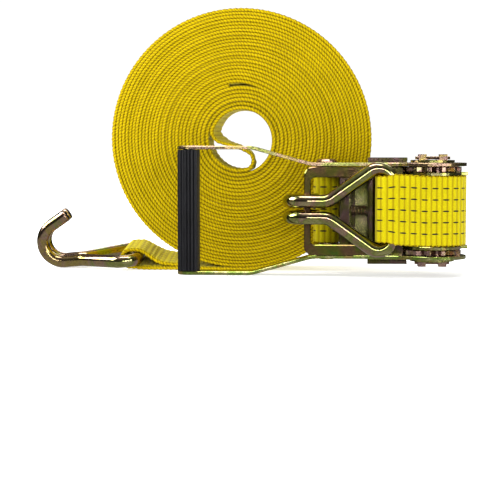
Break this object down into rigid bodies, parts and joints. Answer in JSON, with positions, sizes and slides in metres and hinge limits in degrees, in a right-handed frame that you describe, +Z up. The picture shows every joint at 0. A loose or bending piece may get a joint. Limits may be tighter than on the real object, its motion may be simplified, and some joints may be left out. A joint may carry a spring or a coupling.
{
  "type": "ratchet tie down",
  "caption": "Ratchet tie down: a coiled webbing strap with a wire hook, and a ratchet buckle with a flared handle, split spool, pawls and a short hooked strap.",
  "frame": {"origin": "centre of the bounding box, at the level of the surface that it rests on", "axes": "+X to the right along the buckle, from the grip to the spool; +Y away from the buckle, through the coil's width; +Z up"},
  "size_m": [0.326, 0.1274, 0.198],
  "materials": {
    "zinc_steel": "yellow zinc plated pressed steel, gold with green and olive tints",
    "copper_zinc_steel": "yellow zinc plated steel with copper and pink tints",
    "spring_steel": "bright spring wire",
    "hook_wire": "yellow zinc plated round wire, glossy",
    "webbing": "yellow polyester webbing, cross ribbed, with rows of black tracer stitches",
    "grip": "black ribbed plastic"
  },
  "bodies": {
    "long_strap": {"long_strap_roll": "webbing", "long_strap_core": "webbing", "long_strap_tail": "webbing", "long_strap_hook_loop": "webbing"},
    "long_hook": {"long_hook": "hook_wire"},
    "ratchet_frame": {"base_frame": "zinc_steel", "anchor_bolt": "copper_zinc_steel", "anchor_nut": "zinc_steel", "anchor_sleeve": "zinc_steel", "lock_spring_seat": "copper_zinc_steel", "lock_pawl_spring": "spring_steel", "fixed_strap_anchor_run": "webbing", "fixed_strap_wrap": "webbing"},
    "spool": {"ratchet_wheel_upper": "copper_zinc_steel", "ratchet_wheel_lower": "copper_zinc_steel", "spool_shaft_left": "copper_zinc_steel", "spool_shaft_right": "copper_zinc_steel", "spool_washer_upper": "zinc_steel", "spool_washer_lower": "zinc_steel", "spool_cotter_upper": "copper_zinc_steel", "spool_cotter_lower": "copper_zinc_steel"},
    "handle": {"handle_arm_upper": "zinc_steel", "handle_arm_lower": "zinc_steel", "handle_grip": "grip", "grip_rod": "zinc_steel", "handle_yoke": "zinc_steel", "handle_spring_seat": "copper_zinc_steel", "drive_pawl_spring": "spring_steel", "fixed_strap_top": "webbing"},
    "drive_pawl": {"drive_pawl": "copper_zinc_steel"},
    "lock_pawl": {"lock_pawl": "copper_zinc_steel"},
    "fixed_hook": {"fixed_hook": "hook_wire"}
  },
  "joints": [
    {"name": "buckle_place", "type": "slide", "parent": "long_strap", "child": "ratchet_frame", "axis": [0, -1, 0], "range_m": [0, 0.12]},
    {"name": "long_hook_swing", "type": "hinge", "parent": "long_strap", "child": "long_hook", "pos_m": [-0.0845, 0.03, 0.0107], "axis": [0, 0.9945, 0.1045], "range_deg": [0, 35]},
    {"name": "handle_open", "type": "hinge", "parent": "ratchet_frame", "child": "handle", "pos_m": [0.1359, -0.0275, 0.0472], "axis": [0, 0, 1], "range_deg": [0, 165], "deforming": ["fixed_strap_wrap"]},
    {"name": "spool_turn", "type": "hinge", "parent": "ratchet_frame", "child": "spool", "pos_m": [0.1359, -0.0275, 0.0472], "axis": [0, 0, 1], "continuous": true},
    {"name": "drive_pawl_slide", "type": "slide", "parent": "handle", "child": "drive_pawl", "axis": [-1, 0, 0], "range_m": [0, 0.007], "stiffness_N_per_m": 500, "springref_m": -0.004, "deforming": ["drive_pawl_spring"]},
    {"name": "lock_pawl_slide", "type": "slide", "parent": "ratchet_frame", "child": "lock_pawl", "axis": [-1, 0, 0], "range_m": [0, 0.006], "stiffness_N_per_m": 500, "springref_m": -0.004, "deforming": ["lock_pawl_spring"]},
    {"name": "fixed_hook_swing", "type": "hinge", "parent": "handle", "child": "fixed_hook", "pos_m": [0.1059, -0.056, 0.0488], "axis": [0, 0, 1], "range_deg": [0, 6]}
  ]
}
